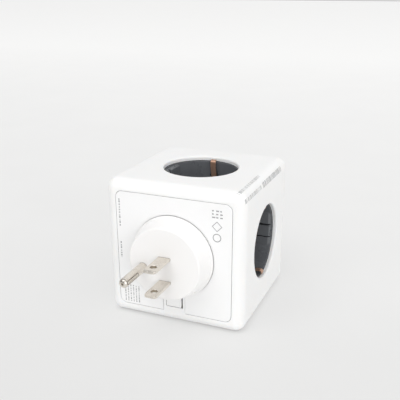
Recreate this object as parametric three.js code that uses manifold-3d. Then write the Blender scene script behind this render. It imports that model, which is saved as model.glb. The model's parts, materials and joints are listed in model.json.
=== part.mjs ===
// A cube-shaped travel adapter. Five recessed sockets stand round a core of contacts and bus bars, and an
// exchangeable plug docks into an inlet on the front face, where a release button under the plug lets it go.
// Millimetres, +Z up. The origin is the centre of the plug's flat front face, the face that meets the wall
// outlet: the prongs point along -Y and the cube lies behind them, at +Y.
import * as THREE from "three";
import { mergeVertices } from "three/addons/utils/BufferGeometryUtils.js";
import { RoundedBoxGeometry } from "three/addons/geometries/RoundedBoxGeometry.js";
import Module from "manifold-3d";

const wasm = await Module();
wasm.setup();

// Housing, in the cube's own frame: its centre is the origin and the plug face is at y = -HALF.
const CUBE = 75;
const HALF = CUBE / 2;
const EDGE_RADIUS = 5.5;
const WALL = 2.3;
const GAP = 0.3;
const FIT = 0.4;
const INNER = HALF - WALL;
const MOUTH_RADIUS = 20;

// Plug face plate and the housing's tongue that carries the button's slot.
const PLATE_HALF = 31.35;
const PLATE_CORNER = 3.5;
const TONGUE_HALF = 6.1;
const TONGUE_TOP = -20.7;
const SNAP_OFFSET = 18;
const SNAP_WIDTH = 6;
const SNAP_LENGTH = 4;
const SNAP_THICK = 1.5;
const SNAP_BARB = 1.3;
const SNAP_BARB_LENGTH = 2.2;
const BOSS_RADIUS = 2.8;
const PILOT_RADIUS = 1.5;

// Socket wells: a face-to-floor depth and a pin pitch set by the socket standard.
const WELL_RADIUS = 19.7;
const WELL_WALL = 1.3;
const WELL_DEPTH = 17.5;
const FLOOR = 1.6;
const FLOOR_FACE = HALF - WELL_DEPTH;
const FLOOR_BACK = FLOOR_FACE - FLOOR;
const WELL_FLANGE = 23;
const WELL_FLANGE_THICK = 1.2;
const FLOOR_CHAMFER = 2.4;
const PIN_OFFSET = 9.5;
const PIN_HOLE = 2.8;
const FLAT_FACE = 17.1;
const RIB_FACE = 16.3;
const RIB_WIDTH = 7.2;
const RIB_TOP = 34.4;

// Shutters turn on a pivot under the floor.
const PIVOT_RADIUS = 1.4;
const SHUTTER_THICK = 1.2;
const SHUTTER_HALF_WIDTH = 3.3;
const SHUTTER_FACE = FLOOR_BACK - GAP;
const SHUTTER_BACK = SHUTTER_FACE - SHUTTER_THICK;

// Earth clips: a strap under the shutter whose two ends come up through the wall.
const CLIP_WIDTH = 3;
const CLIP_THICK = 0.7;
const CLIP_LOW = SHUTTER_BACK - GAP - CLIP_THICK / 2;
const CLIP_WALL = WELL_RADIUS + 0.35;
const WINDOW_TOP = 26.8;
const WINDOW_FOOT = FLOOR_BACK - FIT;
const WINDOW_GAP = 0.8;

// Pin sleeves, the carrier that holds them and the bus bars that join them.
const SLEEVE_RADIUS = 3.6;
const SLEEVE_BORE = 2.5;
const SLEEVE_INNER_END = 3;
const CARRIER_HALF = 14.6;
const CARRIER_FRONT = -13.9;
const CARRIER_SPLIT = 0.15;
const BAR_WIDTH = 3;
const BAR_HALF = BAR_WIDTH / 2;
const BAR_THICK = 0.8;
const LIVE_PLANE = -15;
const NEUTRAL_PLANE = -17.6;
const EARTH_PLANE = -19.1;
const TAB_HEIGHT = 12;
const SLEEVE_REACH = SLEEVE_INNER_END - FIT;
const EARTH_TAB = CLIP_LOW - CLIP_THICK / 2 - GAP - BAR_THICK / 2;
const EARTH_TAB_HEIGHT = 6.5;

// Plug: a round body on the front face, with two flat blades and a round earth pin.
const PLUG_DEPTH = 11;
const PLUG_RIM = 22;
const PLUG_RIM_THICK = 1.3;
const PLUG_RIM_STEP = 0.6;
const PLUG_FRONT = -HALF - PLUG_DEPTH;
const PLUG_FACE_RADIUS = 18.9;
const PLUG_WALL = 2;
const COVER_RADIUS = 20.3;
const COVER_THICK = 2.2;
const BLADE_X = 0.4;
const BLADE_Z = -2.9;
const BLADE_PITCH = 12.7;
const BLADE_WIDTH = 6.35;
const BLADE_THICK = 1.52;
const BLADE_LENGTH = 17;
const BLADE_HOLE = 1.6;
const BLADE_HOLE_AT = 11.9;
const GROUND_OFFSET = 11.9;
const GROUND_RADIUS = 2.38;
const GROUND_LENGTH = 21;
const ROOT_WIDTH = 9;
const ROOT_LENGTH = 3;
const POST_RADIUS = 2.6;
const HEAD_POCKET_RADIUS = 2.5;
const HEAD_POCKET_DEPTH = 1.5;
const PLUG_SCREWS = [
  [0, 15.5],
  [-13, -11.5],
  [13, -11.5],
];

// Inlet behind the plate, and the connector block of the plug that goes into it.
const INLET_Z = 1;
const BLOCK_HALF_X = 11.9;
const BLOCK_HALF_Z = 8.1;
const BLOCK_END = -22.8;
const INLET_WALL = 1.8;
const INLET_FLOOR = 1.5;
const INLET_BACK = -20.3;
const EAR_X = 17.5;
const EAR_HALF_Z = 3;
const EAR_FRONT = -29.7;
const EAR_THICK = 1.7;
const CONTACT_X = 7;
const CONTACT_Z = 2;
const PIN_HALF_X = 1;
const PIN_HALF_Z = 2;
const PIN_TIP = -34;
const CONTACT_WALL = 1.1;
const CONTACT_FRONT = -36;

// Latch: the button's wedge drives the bolt down, and a spring under the bolt returns both.
const BUTTON_HALF = 4.2;
const BUTTON_TOP = -21;
const BUTTON_BOTTOM = -28.6;
const BUTTON_BACK = -33.9;
const WEDGE_HALF = 2.8;
const WEDGE_LENGTH = 5;
const BOLT_FRONT = -31.5;
const BOLT_BACK = -25.7;
const BOLT_TOP = -20.4;
const BOLT_BOTTOM = -28.6;
const HOOK_HALF = 3;
const HOOK_LOW = -20;
const HOOK_HIGH = -17;
const HOOK_END = -23.4;
const HOOK_NOTCH = 1.6;
const HOOK_NOTCH_FRONT = -27.9;
const BOLT_RAMP_TOP = BOLT_BACK - 1.75;
const SPRING_Y = -28.6;
const SPRING_RADIUS = 2.2;
const SPRING_WIRE = 0.5;
const SPRING_TURNS = 4;

const ROUND = 48;
const WELL_ROUND = 36;
const HOLE_ROUND = 16;
const SMALL_ROUND = 12;

function material(color, roughness, metalness) {
  return new THREE.MeshStandardMaterial({ color, roughness, metalness });
}

const WHITE = material(0xf4f4f2, 0.42, 0);
const DARK = material(0x43474b, 0.5, 0);
const COPPER = material(0xa5714f, 0.38, 1);
const BRASS = material(0xc2a25c, 0.35, 1);
const NICKEL = material(0xcfc9be, 0.3, 1);
const STEEL = material(0xb4b6b8, 0.35, 1);
const SHUTTER = material(0x8d9093, 0.55, 0);
const CARRIER = material(0x2f3133, 0.6, 0);

// A closed three.js geometry as a solid: only positions are kept, shared corners are merged and the
// triangles that collapse at a lathe's axis are dropped.
function solid(geometry) {
  const bare = new THREE.BufferGeometry();
  bare.setAttribute("position", geometry.getAttribute("position"));
  bare.setIndex(geometry.index);
  const merged = mergeVertices(bare, 1e-4);
  const corners = merged.index.array;
  const kept = [];
  for (let i = 0; i < corners.length; i += 3) {
    const [a, b, c] = corners.slice(i, i + 3);
    if (a !== b && b !== c && a !== c) kept.push(a, b, c);
  }
  const mesh = new wasm.Mesh({
    numProp: 3,
    vertProperties: merged.attributes.position.array,
    triVerts: new Uint32Array(kept),
  });
  return new wasm.Manifold(mesh);
}

const joined = (solids) => solids.reduce((sum, s) => sum.add(s));
const cut = (body, tools) => tools.reduce((rest, tool) => rest.subtract(tool), body);

// A named mesh of a solid.
function piece(name, body, look) {
  const made = body.getMesh();
  const geometry = new THREE.BufferGeometry();
  geometry.setAttribute("position", new THREE.BufferAttribute(made.vertProperties, 3));
  geometry.setIndex(new THREE.BufferAttribute(made.triVerts, 1));
  geometry.computeVertexNormals();
  const mesh = new THREE.Mesh(geometry, look);
  mesh.name = name;
  return mesh;
}

const around = (centre, half) => [centre - half, centre + half];

function boxGeometry([x0, x1], [y0, y1], [z0, z1]) {
  const box = new THREE.BoxGeometry(x1 - x0, y1 - y0, z1 - z0);
  return box.translate((x0 + x1) / 2, (y0 + y1) / 2, (z0 + z1) / 2);
}

const box = (x, y, z) => solid(boxGeometry(x, y, z));

// A rod along Z at (x, y), from z0 to z1.
function rodGeometry(radius, [z0, z1], x, y, segments = SMALL_ROUND) {
  const rod = new THREE.CylinderGeometry(radius, radius, z1 - z0, segments);
  return rod.rotateX(Math.PI / 2).translate(x, y, (z0 + z1) / 2);
}

const rodZ = (radius, z, x, y, segments) => solid(rodGeometry(radius, z, x, y, segments));

// A rod along Y at (x, z), from y0 to y1.
function rodY(radius, [y0, y1], x, z, segments = SMALL_ROUND) {
  const rod = new THREE.CylinderGeometry(radius, radius, y1 - y0, segments);
  return solid(rod.translate(x, (y0 + y1) / 2, z));
}

// A solid turned about Z from a closed outline of [radius, height] points.
function turnedGeometry(outline, segments) {
  const points = outline.map(([radius, height]) => new THREE.Vector2(radius, height));
  if (THREE.ShapeUtils.area(points) < 0) points.reverse();
  if (points[0].x > 0 || points.at(-1).x > 0) points.push(points[0].clone());
  return new THREE.LatheGeometry(points, segments).rotateX(Math.PI / 2);
}

const turned = (outline, segments) => solid(turnedGeometry(outline, segments));

// A flat outline in the XZ plane, drawn as (x, z), made solid from y0 to y1.
function slabXZ(shape, [y0, y1], curveSegments = 4) {
  const slab = new THREE.ExtrudeGeometry(shape, { depth: y1 - y0, bevelEnabled: false, curveSegments });
  return solid(slab.rotateX(Math.PI / 2).translate(0, y1, 0));
}

// A flat outline drawn as (y, z), made solid across X from -half to half.
function slabYZ(points, half) {
  const shape = new THREE.Shape(points.map(([y, z]) => new THREE.Vector2(y, z)));
  const slab = new THREE.ExtrudeGeometry(shape, { depth: 2 * half, bevelEnabled: false });
  const turn = new THREE.Matrix4().makeBasis(
    new THREE.Vector3(0, 1, 0),
    new THREE.Vector3(0, 0, 1),
    new THREE.Vector3(1, 0, 0),
  );
  return solid(slab.translate(0, 0, -half).applyMatrix4(turn));
}

function roundedSquare(half, corner) {
  const shape = new THREE.Shape();
  const flat = half - corner;
  shape.absarc(flat, flat, corner, 0, Math.PI / 2);
  shape.absarc(-flat, flat, corner, Math.PI / 2, Math.PI);
  shape.absarc(-flat, -flat, corner, Math.PI, 1.5 * Math.PI);
  shape.absarc(flat, -flat, corner, 1.5 * Math.PI, 2 * Math.PI);
  return shape;
}

// The five sockets. Each is built facing +Z with its pins along X and its earth clips along Y, and is
// turned so that no pin of one socket meets a pin of another at the cube's centre.
const [X, Y, Z] = [new THREE.Vector3(1, 0, 0), new THREE.Vector3(0, 1, 0), new THREE.Vector3(0, 0, 1)];
const minus = (v) => v.clone().negate();
const SOCKETS = {
  top: [X, Y, Z],
  bottom: [X, minus(Y), minus(Z)],
  right: [minus(Y), minus(Z), X],
  left: [minus(Y), Z, minus(X)],
  rear: [Z, X, Y],
};

const socketTurn = (axes) => new THREE.Matrix4().makeBasis(...axes);

// Housing: a rounded cube, hollow, with a mouth in each socket face and a square opening in the plug face.
function housing() {
  const shell = solid(new RoundedBoxGeometry(CUBE, CUBE, CUBE, 3, EDGE_RADIUS));
  const hollow = solid(new RoundedBoxGeometry(2 * INNER, 2 * INNER, 2 * INNER, 1, EDGE_RADIUS - WALL));
  const mouths = Object.values(SOCKETS).map((axes) =>
    solid(rodGeometry(MOUTH_RADIUS, [INNER - 2, HALF + 1], 0, 0, ROUND).applyMatrix4(socketTurn(axes))),
  );
  const opening = slabXZ(roundedSquare(PLATE_HALF + GAP, PLATE_CORNER + GAP), [-HALF - 1, -INNER + 1]);
  const body = cut(shell, [hollow, opening, ...mouths]);
  return cut(joined([body, tongue(), ...boltGuides(), springSeat()]), [buttonSlot()]);
}

function tongue() {
  return box(around(0, TONGUE_HALF), [-HALF, -INNER], [-PLATE_HALF - 1, TONGUE_TOP]);
}

function buttonSlot() {
  return box(around(0, BUTTON_HALF + GAP), [-HALF - 1, -INNER + 1], [BUTTON_BOTTOM - GAP, TONGUE_TOP + 1]);
}

function boltGuides() {
  const inside = BUTTON_HALF + GAP;
  const thick = 1.2;
  const top = -24.5;
  return [-1, 1].map((side) =>
    box(around(side * (inside + thick / 2), thick / 2), [BOLT_FRONT, BOLT_BACK], [-INNER - 1, top]),
  );
}

function springSeat() {
  const seatRadius = 1.3;
  const seatHeight = 2.7;
  return rodZ(seatRadius, [-INNER - 1, -INNER + seatHeight], 0, SPRING_Y);
}

// Plug face plate: fills the opening, clears the tongue, the plug's hook and the inlet, and snaps in.
function plugFacePlate() {
  const sheet = slabXZ(roundedSquare(PLATE_HALF, PLATE_CORNER), [-HALF, -INNER]);
  const through = [-HALF - 1, -INNER + 1];
  const notch = box(around(0, TONGUE_HALF + GAP), through, [-PLATE_HALF - 1, TONGUE_TOP + GAP]);
  const hookHole = box(around(0, HOOK_HALF + FIT), through, [HOOK_LOW - 1, HOOK_HIGH + FIT]);
  const inletHole = box(around(0, BLOCK_HALF_X + FIT), through, around(INLET_Z, BLOCK_HALF_Z + FIT));
  const bosses = [-EAR_X, EAR_X].map((x) => rodY(BOSS_RADIUS, [-INNER - 1, EAR_FRONT - GAP], x, INLET_Z));
  const pilots = [-EAR_X, EAR_X].map((x) => rodY(PILOT_RADIUS, [-INNER, EAR_FRONT], x, INLET_Z));
  return cut(joined([sheet, ...bosses, ...snapArms()]), [notch, hookHole, inletHole, ...pilots]);
}

// Two snap arms on each side of the plate, with barbs behind the housing's front lip.
function snapArms() {
  const outer = PLATE_HALF - GAP;
  const arm = [outer - SNAP_THICK, outer];
  const barb = [outer - SNAP_THICK / 2, outer + SNAP_BARB];
  const armEnds = [-INNER - 1, -INNER + SNAP_LENGTH];
  const barbEnds = [-INNER + GAP, -INNER + GAP + SNAP_BARB_LENGTH];
  const arms = [];
  for (let quarter = 0; quarter < 4; quarter += 1) {
    for (const z of [-SNAP_OFFSET, SNAP_OFFSET]) {
      const along = around(z, SNAP_WIDTH / 2);
      for (const [across, ends] of [[arm, armEnds], [barb, barbEnds]]) {
        arms.push(solid(boxGeometry(across, ends, along).rotateY((quarter * Math.PI) / 2)));
      }
    }
  }
  return arms;
}

// The cup of a socket well, with a flange at its mouth and the shutter's pivot under its floor.
function wellCup() {
  const outside = WELL_RADIUS + WELL_WALL;
  const flangeTop = INNER - GAP;
  const pivotEnd = SHUTTER_BACK - 0.1;
  const chamferStart = FLOOR_BACK - 0.2;
  return turned(
    [
      [0, pivotEnd],
      [PIVOT_RADIUS, pivotEnd],
      [PIVOT_RADIUS, FLOOR_BACK],
      [chamferStart, FLOOR_BACK],
      [outside, FLOOR_BACK + outside - chamferStart],
      [outside, flangeTop - WELL_FLANGE_THICK],
      [WELL_FLANGE, flangeTop - WELL_FLANGE_THICK],
      [WELL_FLANGE, flangeTop],
      [WELL_RADIUS, flangeTop],
      [WELL_RADIUS, FLOOR_FACE + FLOOR_CHAMFER],
      [WELL_RADIUS - FLOOR_CHAMFER, FLOOR_FACE],
      [0, FLOOR_FACE],
    ],
    WELL_ROUND,
  );
}

// The two flats of a well's wall, each with a guide rib up its middle.
function wellGuides() {
  const wide = WELL_RADIUS + GAP;
  const foot = FLOOR_FACE - GAP;
  const bore = turned(
    [
      [0, foot],
      [wide - FLOOR_CHAMFER, foot],
      [wide, foot + FLOOR_CHAMFER],
      [wide, RIB_TOP],
      [0, RIB_TOP],
    ],
    WELL_ROUND,
  );
  const upTo = (face, side) => around((side * (wide + face)) / 2, (wide - face) / 2);
  return [-1, 1].flatMap((side) => [
    box(upTo(FLAT_FACE, side), around(0, wide), [foot, RIB_TOP]).intersect(bore),
    box(upTo(RIB_FACE, side), around(0, RIB_WIDTH / 2), [foot, RIB_TOP]).intersect(bore),
  ]);
}

// Socket well: the cup and its guides, with two pin holes and two windows for the earth clip.
function well() {
  const holes = [-PIN_OFFSET, PIN_OFFSET].map((x) =>
    rodZ(PIN_HOLE, [FLOOR_BACK - 1, FLOOR_FACE + 1], x, 0, HOLE_ROUND),
  );
  const windowHalf = 2.7;
  const windowOutside = WELL_RADIUS + WELL_WALL + 1.2;
  const windows = [-1, 1].map((side) =>
    box(
      around(0, CLIP_WIDTH / 2 + WINDOW_GAP),
      around(side * (windowOutside - windowHalf), windowHalf),
      [WINDOW_FOOT, WINDOW_TOP],
    ),
  );
  return cut(joined([wellCup(), ...wellGuides()]), [...holes, ...windows]);
}

// Shutter: a rotor that covers both pin holes and turns on the well's pivot to uncover them.
function shutter() {
  const shape = new THREE.Shape();
  shape.absarc(PIN_OFFSET, 0, SHUTTER_HALF_WIDTH, -Math.PI / 2, Math.PI / 2);
  shape.absarc(-PIN_OFFSET, 0, SHUTTER_HALF_WIDTH, Math.PI / 2, 1.5 * Math.PI);
  shape.holes.push(new THREE.Path().absarc(0, 0, PIVOT_RADIUS + FIT, 0, 2 * Math.PI, true));
  const options = { depth: SHUTTER_THICK, bevelEnabled: false, curveSegments: 6 };
  const slab = new THREE.ExtrudeGeometry(shape, options);
  return solid(slab.translate(0, 0, SHUTTER_BACK));
}

// The clip's centre line from the middle of the strap to the hooked end, as (y, z): flat under the shutter,
// up at 45 degrees outside the floor's chamfer, then inwards through the window and back to the wall.
function clipLine() {
  const clear = 0.7;
  const run = [
    [0, CLIP_LOW],
    [CLIP_LOW - clear, CLIP_LOW],
    [CLIP_WALL, CLIP_WALL + clear],
  ];
  const spring = new THREE.SplineCurve(
    [
      [CLIP_WALL, 23.6],
      [19, 26.9],
      [17.9, 30.4],
      [17.4, 33.6],
      [17.9, 35.6],
      [18.9, 36.1],
    ].map(([y, z]) => new THREE.Vector2(y, z)),
  );
  return [...run, ...spring.getPoints(9).map((p) => [p.x, p.y])].map(([y, z]) => new THREE.Vector2(y, z));
}

// Earth clip: the whole centre line thickened to a strip, and the strip made as wide as the clip.
function earthClip() {
  const half = clipLine();
  const line = [...half.slice(1).reverse().map((p) => new THREE.Vector2(-p.x, p.y)), ...half];
  const sides = [-1, 1].map((side) =>
    line.map((point, i) => {
      const before = line[Math.max(i - 1, 0)];
      const after = line[Math.min(i + 1, line.length - 1)];
      const into = point.clone().sub(before).normalize();
      const out = after.clone().sub(point).normalize();
      const mean = into.add(out).normalize();
      const turnShare = Math.max(mean.dot(i ? point.clone().sub(before).normalize() : out), 0.6);
      const reach = (side * CLIP_THICK) / 2 / turnShare;
      return [point.x - mean.y * reach, point.y + mean.x * reach];
    }),
  );
  return slabYZ([...sides[0], ...sides[1].reverse()], CLIP_WIDTH / 2);
}

// Pin sleeve: a tube round the plug pin, behind the floor.
function sleeve(side) {
  const tube = turnedGeometry(
    [
      [SLEEVE_BORE, SLEEVE_INNER_END],
      [SLEEVE_RADIUS, SLEEVE_INNER_END],
      [SLEEVE_RADIUS, SHUTTER_BACK - GAP],
      [SLEEVE_BORE, SHUTTER_BACK - GAP],
    ],
    SMALL_ROUND,
  );
  return solid(tube.translate(side * PIN_OFFSET, 0, 0));
}

// Everything that belongs to one socket, in the socket's own frame.
function socket(name, axes) {
  const group = new THREE.Group();
  group.setRotationFromMatrix(socketTurn(axes));
  group.add(piece(`well_${name}`, well(), DARK));
  group.add(piece(`earth_clip_${name}`, earthClip(), COPPER));
  group.add(piece(`shutter_${name}`, shutter(), SHUTTER));
  group.add(piece(`live_sleeve_${name}`, sleeve(1), BRASS));
  group.add(piece(`neutral_sleeve_${name}`, sleeve(-1), BRASS));
  return group;
}

const strip = (centre) => around(centre, BAR_HALF);
const sheetAt = (plane) => around(plane, BAR_THICK / 2);
const grown = ([low, high], by) => [low - by, high + by];

// The boxes of each bus bar, as [x, y, z] ranges: strips in one plane, and tabs that run back to the sleeves.
function liveBoxes() {
  const sleeveFront = -PIN_OFFSET - SLEEVE_RADIUS - GAP;
  const tabEnd = -SLEEVE_RADIUS - GAP;
  const crossZ = BAR_HALF + SLEEVE_INNER_END;
  const tabs = [-TAB_HEIGHT, TAB_HEIGHT].map((z) => [strip(PIN_OFFSET), [LIVE_PLANE, tabEnd], strip(z)]);
  return [
    [strip(PIN_OFFSET), sheetAt(LIVE_PLANE), [-TAB_HEIGHT - BAR_HALF, TAB_HEIGHT + BAR_HALF]],
    [[-PIN_OFFSET - BAR_HALF, PIN_OFFSET], sheetAt(LIVE_PLANE), strip(crossZ)],
    [strip(-PIN_OFFSET), sheetAt(LIVE_PLANE), [-BAR_HALF, crossZ]],
    [strip(0), sheetAt(LIVE_PLANE), [crossZ, PIN_OFFSET + BAR_HALF]],
    [[CONTACT_X - BAR_HALF, PIN_OFFSET], sheetAt(LIVE_PLANE), around(INLET_Z - CONTACT_Z, PIN_HALF_Z)],
    [strip(0), [LIVE_PLANE, SLEEVE_REACH], strip(PIN_OFFSET)],
    [strip(PIN_OFFSET), [LIVE_PLANE, sleeveFront], strip(0)],
    [strip(-PIN_OFFSET), [LIVE_PLANE, sleeveFront], strip(0)],
    ...tabs,
  ];
}

function neutralBoxes() {
  const tabEnd = -SLEEVE_RADIUS - GAP;
  const tabs = [-TAB_HEIGHT, TAB_HEIGHT].map((z) => [strip(-PIN_OFFSET), [NEUTRAL_PLANE, tabEnd], strip(z)]);
  return [
    [strip(-PIN_OFFSET), sheetAt(NEUTRAL_PLANE), [-TAB_HEIGHT - BAR_HALF, TAB_HEIGHT + BAR_HALF]],
    [[-PIN_OFFSET, BAR_HALF], sheetAt(NEUTRAL_PLANE), strip(0)],
    [[-PIN_OFFSET, BAR_HALF], sheetAt(NEUTRAL_PLANE), strip(-PIN_OFFSET)],
    [strip(0), [NEUTRAL_PLANE, PIN_OFFSET + BAR_HALF], strip(0)],
    [around(0, SLEEVE_REACH), strip(PIN_OFFSET), strip(0)],
    [strip(0), [NEUTRAL_PLANE, SLEEVE_REACH], strip(-PIN_OFFSET)],
    ...tabs,
  ];
}

function earthBoxes() {
  const edge = EARTH_TAB + BAR_THICK / 2;
  const tabEnd = -12;
  const rearTabStart = 11;
  const topTabs = [-EARTH_TAB, EARTH_TAB].map((z) => [strip(0), [EARTH_PLANE, tabEnd], sheetAt(z)]);
  return [
    [strip(0), sheetAt(EARTH_PLANE), [-edge, edge]],
    [[-edge, edge], sheetAt(EARTH_PLANE), strip(EARTH_TAB_HEIGHT)],
    [sheetAt(-EARTH_TAB), [EARTH_PLANE, CLIP_WIDTH / 2], strip(EARTH_TAB_HEIGHT)],
    [sheetAt(EARTH_TAB), [EARTH_PLANE, edge], strip(EARTH_TAB_HEIGHT)],
    [[rearTabStart, edge], sheetAt(EARTH_TAB), [-BAR_HALF, EARTH_TAB_HEIGHT + BAR_HALF]],
    ...topTabs,
  ];
}

const busBar = (boxes) => joined(boxes.map(([x, y, z]) => box(x, y, z)));

// Carrier half: a block bored for the sleeves and grooved for the bus bars' tabs.
function carrier(yRange) {
  const block = box(around(0, CARRIER_HALF), yRange, around(0, CARRIER_HALF));
  const boreRadius = SLEEVE_RADIUS + 0.5;
  const clearance = 0.35;
  const boreFoot = SLEEVE_INNER_END - 0.5;
  const bores = Object.values(SOCKETS).flatMap((axes) =>
    [-PIN_OFFSET, PIN_OFFSET].map((x) =>
      solid(rodGeometry(boreRadius, [boreFoot, CARRIER_HALF + 1], x, 0).applyMatrix4(socketTurn(axes))),
    ),
  );
  const grooves = [...liveBoxes(), ...neutralBoxes()].map(([x, y, z]) =>
    box(grown(x, clearance), grown(y, clearance), grown(z, clearance)),
  );
  return cut(block, [...bores, ...grooves]);
}

// Inlet: a rectangular socket behind the plate, with two screw ears and three pins through its floor.
const INLET_PINS = {
  line: [CONTACT_X, INLET_Z - CONTACT_Z, LIVE_PLANE - BAR_THICK / 2 - GAP],
  neutral: [-CONTACT_X, INLET_Z - CONTACT_Z, NEUTRAL_PLANE - BAR_THICK / 2 - GAP],
  ground: [0, INLET_Z + CONTACT_Z, EARTH_PLANE - BAR_THICK / 2 - GAP],
};

function inletBody() {
  const cavityX = BLOCK_HALF_X + FIT;
  const cavityZ = BLOCK_HALF_Z + FIT;
  const front = -INNER + GAP;
  const floor = INLET_BACK - INLET_FLOOR;
  const ear = [EAR_FRONT, EAR_FRONT + EAR_THICK];
  const across = around(0, cavityX + INLET_WALL);
  const tub = box(across, [front, INLET_BACK], around(INLET_Z, cavityZ + INLET_WALL));
  const ears = box(around(0, EAR_X + EAR_HALF_Z), ear, around(INLET_Z, EAR_HALF_Z));
  const cavity = box(around(0, cavityX), [front - 1, floor], around(INLET_Z, cavityZ));
  const earHoles = [-EAR_X, EAR_X].map((x) => rodY(PILOT_RADIUS + 0.1, grown(ear, 1), x, INLET_Z));
  const pinHoles = Object.values(INLET_PINS).map(([x, z]) =>
    box(around(x, PIN_HALF_X + GAP), grown([floor, INLET_BACK], 1), around(z, PIN_HALF_Z + GAP)),
  );
  return cut(joined([tub, ears]), [cavity, ...earHoles, ...pinHoles]);
}

const inletPin = ([x, z, tail]) => box(around(x, PIN_HALF_X), [PIN_TIP, tail], around(z, PIN_HALF_Z));

// A pan-head screw along Y: its head's outer face stands at headY and its shank runs forward, to -Y.
const SCREW_LENGTH = 7;
const SCREW_HEAD_THICK = 1.1;

function screw(x, z, headY, headRadius, shankRadius) {
  const slotDepth = 0.5;
  const slotHalf = 0.4;
  const head = rodY(headRadius, [headY - SCREW_HEAD_THICK, headY], x, z);
  const shank = rodY(shankRadius, [headY - SCREW_LENGTH, headY - slotDepth], x, z);
  const slot = box(around(x, headRadius + 1), [headY - slotDepth, headY + 1], around(z, slotHalf));
  return cut(head.add(shank), [slot]);
}

const inletScrew = (x) => screw(x, INLET_Z, EAR_FRONT + EAR_THICK + GAP + SCREW_HEAD_THICK, 2.4, 1.2);
const plugScrew = ([x, z]) => screw(x, z, -HALF - FIT, 2.1, 1.1);

// Plug shell: a tapered round cup with a thin rim, open at the back, with three screw posts inside.
function plugShell() {
  const rebate = COVER_RADIUS + GAP;
  const seat = COVER_THICK + 2 * GAP;
  const inside = PLUG_DEPTH - PLUG_WALL;
  const outline = [
    [0, inside],
    [PLUG_FACE_RADIUS - 1.7, inside],
    [rebate - 1.6, seat],
    [rebate, seat],
    [rebate, GAP],
    [PLUG_RIM, GAP],
    [PLUG_RIM, PLUG_RIM_THICK],
    [PLUG_RIM - PLUG_RIM_STEP, PLUG_RIM_THICK + 0.2],
    [PLUG_FACE_RADIUS + 0.5, PLUG_DEPTH - 0.6],
    [PLUG_FACE_RADIUS, PLUG_DEPTH],
    [0, PLUG_DEPTH],
  ];
  const cup = solid(turnedGeometry(outline, ROUND).applyMatrix4(facing(0, -HALF, 0)));
  const postEnd = -HALF - seat;
  const postRoot = -HALF - inside - 0.5;
  const posts = PLUG_SCREWS.map(([x, z]) => rodY(POST_RADIUS, [postRoot, postEnd], x, z));
  const pilots = PLUG_SCREWS.map(([x, z]) => rodY(PILOT_RADIUS, [-HALF - inside, postEnd + 1], x, z));
  return cut(joined([cup, ...posts]), [...pilots, ...prongSlots()]);
}

// The place of something drawn along Z that points forward, to -Y, from (x, y, z).
function facing(x, y, z) {
  const turn = new THREE.Matrix4().makeRotationX(Math.PI / 2);
  return turn.premultiply(new THREE.Matrix4().makeTranslation(x, y, z));
}

const BLADES = { line: BLADE_Z + BLADE_PITCH / 2, neutral: BLADE_Z - BLADE_PITCH / 2 };

function prongSlots() {
  const through = [PLUG_FRONT - 1, PLUG_FRONT + PLUG_WALL + 1];
  const blades = Object.values(BLADES).map((z) =>
    box(around(BLADE_X, BLADE_WIDTH / 2 + GAP), through, around(z, BLADE_THICK / 2 + GAP)),
  );
  return [...blades, rodY(GROUND_RADIUS + FIT, through, BLADE_X - GROUND_OFFSET, BLADE_Z, HOLE_ROUND)];
}

// Blade: a flat strip with a pierced, tapered tip outside the plug and a wider root inside it.
function blade(z) {
  const tip = PLUG_FRONT - BLADE_LENGTH;
  const taper = 1.4;
  const half = BLADE_WIDTH / 2;
  const rootFront = PLUG_FRONT + PLUG_WALL + GAP;
  const rightSide = [
    [half - taper / 2, tip],
    [half, tip + taper],
    [half, rootFront],
    [ROOT_WIDTH / 2, rootFront],
    [ROOT_WIDTH / 2, rootFront + ROOT_LENGTH],
  ];
  const leftSide = rightSide.map(([x, y]) => [-x, y]).reverse();
  const shape = new THREE.Shape([...rightSide, ...leftSide].map(([x, y]) => new THREE.Vector2(x, y)));
  shape.holes.push(new THREE.Path().absarc(0, PLUG_FRONT - BLADE_HOLE_AT, BLADE_HOLE, 0, 2 * Math.PI, true));
  const options = { depth: BLADE_THICK, bevelEnabled: false, curveSegments: 8 };
  const strap = new THREE.ExtrudeGeometry(shape, options);
  return solid(strap.translate(BLADE_X, 0, z - BLADE_THICK / 2));
}

// Ground pin: a rod with a domed tip and a collar behind the plug's front wall.
function groundPin() {
  const collar = PLUG_WALL + GAP;
  const collarRadius = GROUND_RADIUS + 1.2;
  const domeSteps = 3;
  const dome = [];
  for (let step = 0; step < domeSteps; step += 1) {
    const angle = (step / domeSteps) * (Math.PI / 2);
    dome.push([GROUND_RADIUS * Math.cos(angle), GROUND_LENGTH - GROUND_RADIUS * (1 - Math.sin(angle))]);
  }
  const outline = [
    [0, -collar - ROOT_LENGTH],
    [collarRadius, -collar - ROOT_LENGTH],
    [collarRadius, -collar],
    [GROUND_RADIUS, -collar],
    ...dome,
    [0, GROUND_LENGTH],
  ];
  const pin = turnedGeometry(outline, HOLE_ROUND);
  return solid(pin.applyMatrix4(facing(BLADE_X - GROUND_OFFSET, PLUG_FRONT, BLADE_Z)));
}

// Plug cover: a disc that closes the plug, with the connector block and the latch hook on its back.
function plugCover() {
  const front = -HALF - GAP - COVER_THICK;
  const back = -HALF - GAP;
  const disc = rodY(COVER_RADIUS, [front, back], 0, 0, ROUND);
  const block = box(around(0, BLOCK_HALF_X), [back - 1, BLOCK_END], around(INLET_Z, BLOCK_HALF_Z));
  const screwHoles = PLUG_SCREWS.map(([x, z]) => rodY(PILOT_RADIUS, [front - 1, back + 1], x, z));
  const pocket = [back - HEAD_POCKET_DEPTH, back + 1];
  const headPockets = PLUG_SCREWS.map(([x, z]) => rodY(HEAD_POCKET_RADIUS, pocket, x, z));
  return cut(joined([disc, block, hook(back)]), [...screwHoles, ...headPockets, ...contactSlots(front)]);
}

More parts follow.
